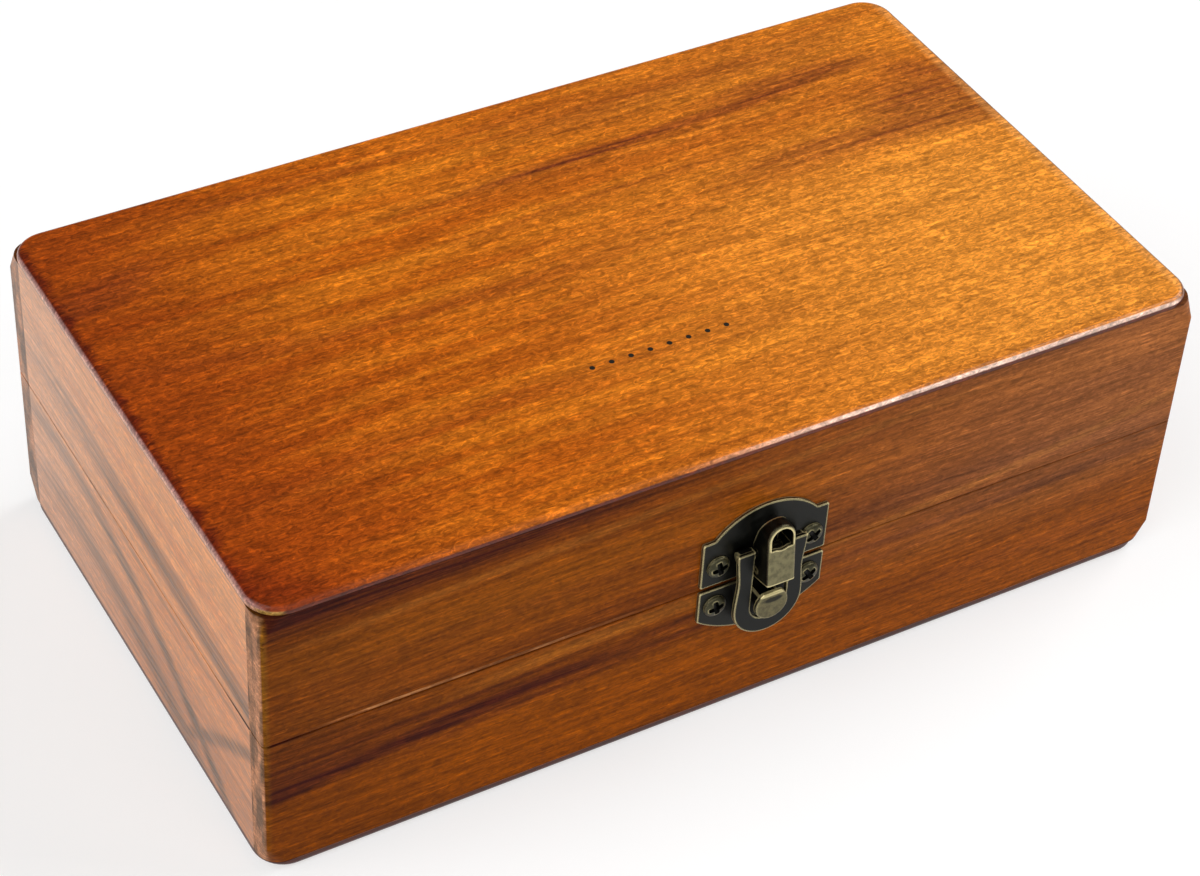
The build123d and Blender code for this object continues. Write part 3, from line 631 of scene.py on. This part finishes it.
body = add(screw_tree, "GeometryNodeStoreNamedAttribute", {
    "Geometry": body, "Name": "recess_soot_and_shade", "Value": 0.0}, data_type="FLOAT", domain="FACE").outputs[0]

arms = []
for turned in (False, True):
    long, wide = given["Recess length"], given["Recess width"]
    size = add(screw_tree, "ShaderNodeCombineXYZ", {
        "X": wide if turned else long, "Y": long if turned else wide,
        "Z": given["Recess depth"]}).outputs[0]
    arms.append(add(screw_tree, "GeometryNodeMeshCube", {"Size": size}).outputs["Mesh"])
cutter = add(screw_tree, "GeometryNodeJoinGeometry")
for arm in arms:
    screw_tree.links.new(arm, cutter.inputs[0])
# The recess narrows towards its floor
spot = add(screw_tree, "GeometryNodeInputPosition").outputs[0]
spot = add(screw_tree, "ShaderNodeSeparateXYZ", {0: spot}).outputs
depth_share = calc(screw_tree, "DIVIDE", spot["Z"], given["Recess depth"])
flare = calc(screw_tree, "MULTIPLY_ADD", depth_share, 0.5, 0.85)
lift = calc(screw_tree, "MULTIPLY_ADD", given["Recess depth"], -0.5, given["Head height"])
lift = calc(screw_tree, "ADD", lift, calc(screw_tree, "MULTIPLY", depth_share, 0.1))
tapered = add(screw_tree, "ShaderNodeCombineXYZ", {
    "X": calc(screw_tree, "MULTIPLY", spot["X"], flare),
    "Y": calc(screw_tree, "MULTIPLY", spot["Y"], flare),
    "Z": calc(screw_tree, "ADD", spot["Z"], lift)}).outputs[0]
recess = add(screw_tree, "GeometryNodeSetPosition", {
    "Geometry": cutter.outputs[0], "Position": tapered}).outputs[0]
# Soot and painted shade: the recess is marked to be painted near black
recess = add(screw_tree, "GeometryNodeStoreNamedAttribute", {
    "Geometry": recess, "Name": "recess_soot_and_shade", "Value": 1.0}, data_type="FLOAT", domain="FACE").outputs[0]
cut = add(screw_tree, "GeometryNodeMeshBoolean", operation="DIFFERENCE", solver="EXACT")
cut.inputs["Self Intersection"].default_value = True
screw_tree.links.new(body, cut.inputs["Mesh 1"])
screw_tree.links.new(recess, cut.inputs["Mesh 2"])

# Two screws in a row, and such a pair once or twice
row = {}
for label, count, pitch in (("pairs", given["Pairs"], given["Pair pitch"]),
                            ("screws", 2, given["Screw pitch"])):
    gap = add(screw_tree, "ShaderNodeCombineXYZ", {"X": pitch}).outputs[0]
    count_less = calc(screw_tree, "SUBTRACT", count, 1.0)
    length = calc(screw_tree, "MULTIPLY", pitch, count_less)
    start = add(screw_tree, "ShaderNodeCombineXYZ", {
        "X": calc(screw_tree, "MULTIPLY", length, -0.5)}).outputs[0]
    row[label] = add(screw_tree, "GeometryNodeMeshLine", {
        "Count": count, "Start Location": start, "Offset": gap}).outputs[0]
spread = add(screw_tree, "GeometryNodeInstanceOnPoints", {
    "Points": row["pairs"], "Instance": row["screws"]}).outputs[0]
spread = add(screw_tree, "GeometryNodeRealizeInstances", {"Geometry": spread}).outputs[0]
index = add(screw_tree, "GeometryNodeInputIndex").outputs[0]
turn = calc(screw_tree, "MULTIPLY_ADD", index, given["Turn step"], given["First turn"])
turn = add(screw_tree, "ShaderNodeCombineXYZ", {"Z": turn}).outputs[0]
screws = add(screw_tree, "GeometryNodeInstanceOnPoints", {
    "Points": spread, "Instance": cut.outputs[0], "Rotation": turn}).outputs[0]
tilt = add(screw_tree, "ShaderNodeCombineXYZ", {"X": given["Tilt"]}).outputs[0]
screws = add(screw_tree, "GeometryNodeTransform", {
    "Geometry": screws, "Translation": given["Place"], "Rotation": tilt,
    "Scale": (1 / MM_PER_METRE,) * 3}).outputs[0]
screws = add(screw_tree, "GeometryNodeRealizeInstances", {"Geometry": screws}).outputs[0]
# Smooth, but for the sharp edges of head and recess
bend_angle = add(screw_tree, "GeometryNodeInputMeshEdgeAngle").outputs[0]
smooth = add(screw_tree, "FunctionNodeCompare", {0: bend_angle, 1: radians(35)},
             operation="LESS_THAN").outputs[0]
screws = add(screw_tree, "GeometryNodeSetShadeSmooth", {
    "Geometry": screws}, domain="FACE").outputs[0]
screws = add(screw_tree, "GeometryNodeSetShadeSmooth", {
    "Geometry": screws, "Shade Smooth": smooth}, domain="EDGE").outputs[0]
screws = add(screw_tree, "GeometryNodeSetMaterial", {
    "Geometry": screws, "Material": given["Material"]}).outputs[0]
screw_tree.links.new(screws, made["Geometry"])

screw_bronze = bronze("screw bronze", paint(56, 54, 39), rim=(0.98, 0.9))


def drive_screws(name, body, replaced, outwards, sizes):
    """Screws that stand where the CAD has them, as one plain mesh on the body that they hold."""
    low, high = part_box(replaced[0])
    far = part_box(replaced[-1])[1]
    height = sizes["Head height"] / MM_PER_METRE
    out = high[1] - height if outwards > 0 else low[1] + height
    place = ((low[0] + far[0]) / 2, out, (low[2] + high[2]) / 2)
    sizes = dict(sizes, Place=place, Tilt=-outwards * pi / 2, Material=screw_bronze)
    if len(replaced) > 1:
        sizes.update({"Pairs": 2, "Pair pitch": (far[0] - high[0]) * MM_PER_METRE})
    sizes["Screw pitch"] = (high[0] - low[0]) * MM_PER_METRE - 2 * sizes["Head radius"]
    piece = bpy.data.objects.new(name, bpy.data.meshes.new(name))
    bpy.context.scene.collection.objects.link(piece)
    modifier = piece.modifiers.new(name, "NODES")
    modifier.node_group = screw_tree
    for item in screw_tree.interface.items_tree:
        if item.in_out == "INPUT" and item.name in sizes:
            modifier[item.identifier] = sizes[item.name]
    finished = piece.evaluated_get(bpy.context.evaluated_depsgraph_get())
    plain = bpy.data.meshes.new_from_object(finished)
    piece.modifiers.clear()
    piece.data = plain
    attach(piece, body)
    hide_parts(*replaced)


pan_head = {
    "Head radius": 2.15, "Head height": 1.1, "Rim height": 0.35, "Sink depth": 0.0,
    "Shank radius": 0.9, "Shank length": 3.7, "Point length": 1.3,
    "Recess length": 3.1, "Recess width": 0.95, "Recess depth": 0.8,
    "First turn": radians(12), "Turn step": radians(21)}
oval_head = {
    "Head radius": 1.75, "Head height": 0.3, "Rim height": 0.0, "Sink depth": 0.7,
    "Shank radius": 0.8, "Shank length": 4.3, "Point length": 1.1,
    "Recess length": 2.0, "Recess width": 0.5, "Recess depth": 0.5,
    "First turn": radians(12), "Turn step": radians(31)}
drive_screws("lid_latch_screws", "lid", ["latch_lid_screws"], -1, pan_head)
drive_screws("base_latch_screws", "base", ["latch_keeper_screws"], -1, pan_head)
drive_screws("lid_hinge_screws", "lid",
             ["left_hinge_lid_screws", "right_hinge_lid_screws"], 1, oval_head)
drive_screws("base_hinge_screws", "base",
             ["left_hinge_base_screws", "right_hinge_base_screws"], 1, oval_head)


# Table: a plain white sheet, far wider than the picture, that the box stands on. It keeps the
# shadow of the box.
sheet_size = 30.0
mesh = bpy.data.meshes.new("table")
half = sheet_size / 2
corners = [(-half, -half, 0), (half, -half, 0), (half, half, 0), (-half, half, 0)]
mesh.from_pydata(corners, [], [(0, 1, 2, 3)])
table = bpy.data.objects.new("table", mesh)
bpy.context.scene.collection.objects.link(table)
white = bpy.data.materials.new("white sheet")
white.use_nodes = True
tree = white.node_tree
paper = tree.nodes["Principled BSDF"]
paper.inputs["Base Color"].default_value = (0.92, 0.92, 0.92, 1)
paper.inputs["Roughness"].default_value = 0.9
paper.inputs["Specular IOR Level"].default_value = 0.1
# The camera sees the sheet a little brighter, as in a cut-out photograph, and so do metal and
# lacquer in their gloss. What lights the box is the plain paper.
glow = add(tree, "ShaderNodeEmission", {"Color": (1, 1, 1, 1), "Strength": 1.12})
glow_share = 0.5
rays = add(tree, "ShaderNodeLightPath").outputs
seen = calc(tree, "MAXIMUM", rays["Is Camera Ray"], rays["Is Glossy Ray"])
seen = calc(tree, "MAXIMUM", seen, rays["Is Transmission Ray"])
seen = calc(tree, "MULTIPLY", seen, glow_share)
shown = add(tree, "ShaderNodeMixShader", {0: seen, 1: paper.outputs[0], 2: glow.outputs[0]})
tree.links.new(shown.outputs[0], tree.nodes["Material Output"].inputs["Surface"])
mesh.materials.append(white)


# Light: a dim room, two broad soft lamps, one from the left and one from behind on the right, a
# weak one in front, and a small round lamp close by at the front right, which glints on the
# rounded edges there.
world = bpy.data.worlds.new("room")
bpy.context.scene.world = world
world.use_nodes = True
world.node_tree.nodes["Background"].inputs["Color"].default_value = (1, 0.985, 0.96, 1)
world.node_tree.nodes["Background"].inputs["Strength"].default_value = 0.1
for name, towards, strength, spread in (
    ("left lamp", (-0.75, 0.02, 0.66), 0.52 * pi, 60),
    ("right lamp", (0.76, 0.08, 0.64), 0.58 * pi, 40),
    ("front lamp", (-0.20, -0.75, 0.62), 0.27 * pi, 80),
):
    lamp = bpy.data.lights.new(name, "SUN")
    lamp.energy = strength
    lamp.angle = radians(spread)
    holder = bpy.data.objects.new(name, lamp)
    holder.rotation_mode = "QUATERNION"
    holder.rotation_quaternion = Vector(towards).to_track_quat("Z", "Y")
    bpy.context.scene.collection.objects.link(holder)
glint = bpy.data.lights.new("glint lamp", "AREA")
glint.shape = "DISK"
glint.size = 0.08
glint.energy = 0.3
glint_place, glint_towards = (0.32, -0.282, 0.42), (0.52, -0.46, 0.72)
holder = bpy.data.objects.new("glint lamp", glint)
holder.location = glint_place
holder.rotation_mode = "QUATERNION"
holder.rotation_quaternion = Vector(glint_towards).to_track_quat("Z", "Y")
bpy.context.scene.collection.objects.link(holder)


# Camera: a long lens above the front left corner, as in the photograph, 0.56 m from the box. Its
# place and turn bring the straight edges of the box onto those of the photograph.
camera_data = bpy.data.cameras.new("camera")
camera_data.sensor_width = 36.0
camera_data.lens = 93.825
camera_data.clip_start = 0.01
right = Vector((0.87047999, -0.48981399, 0.04844418))
forward = Vector((0.39611928, 0.63872938, -0.65963194))
turn = Matrix((right, right.cross(forward), -forward)).transposed().to_4x4()
camera = bpy.data.objects.new("camera", camera_data)
camera.matrix_world = Matrix.Translation((-0.2251466, -0.3650039, 0.3967229)) @ turn
bpy.context.scene.collection.objects.link(camera)
bpy.context.scene.camera = camera
bpy.context.scene.view_settings.view_transform = "Standard"
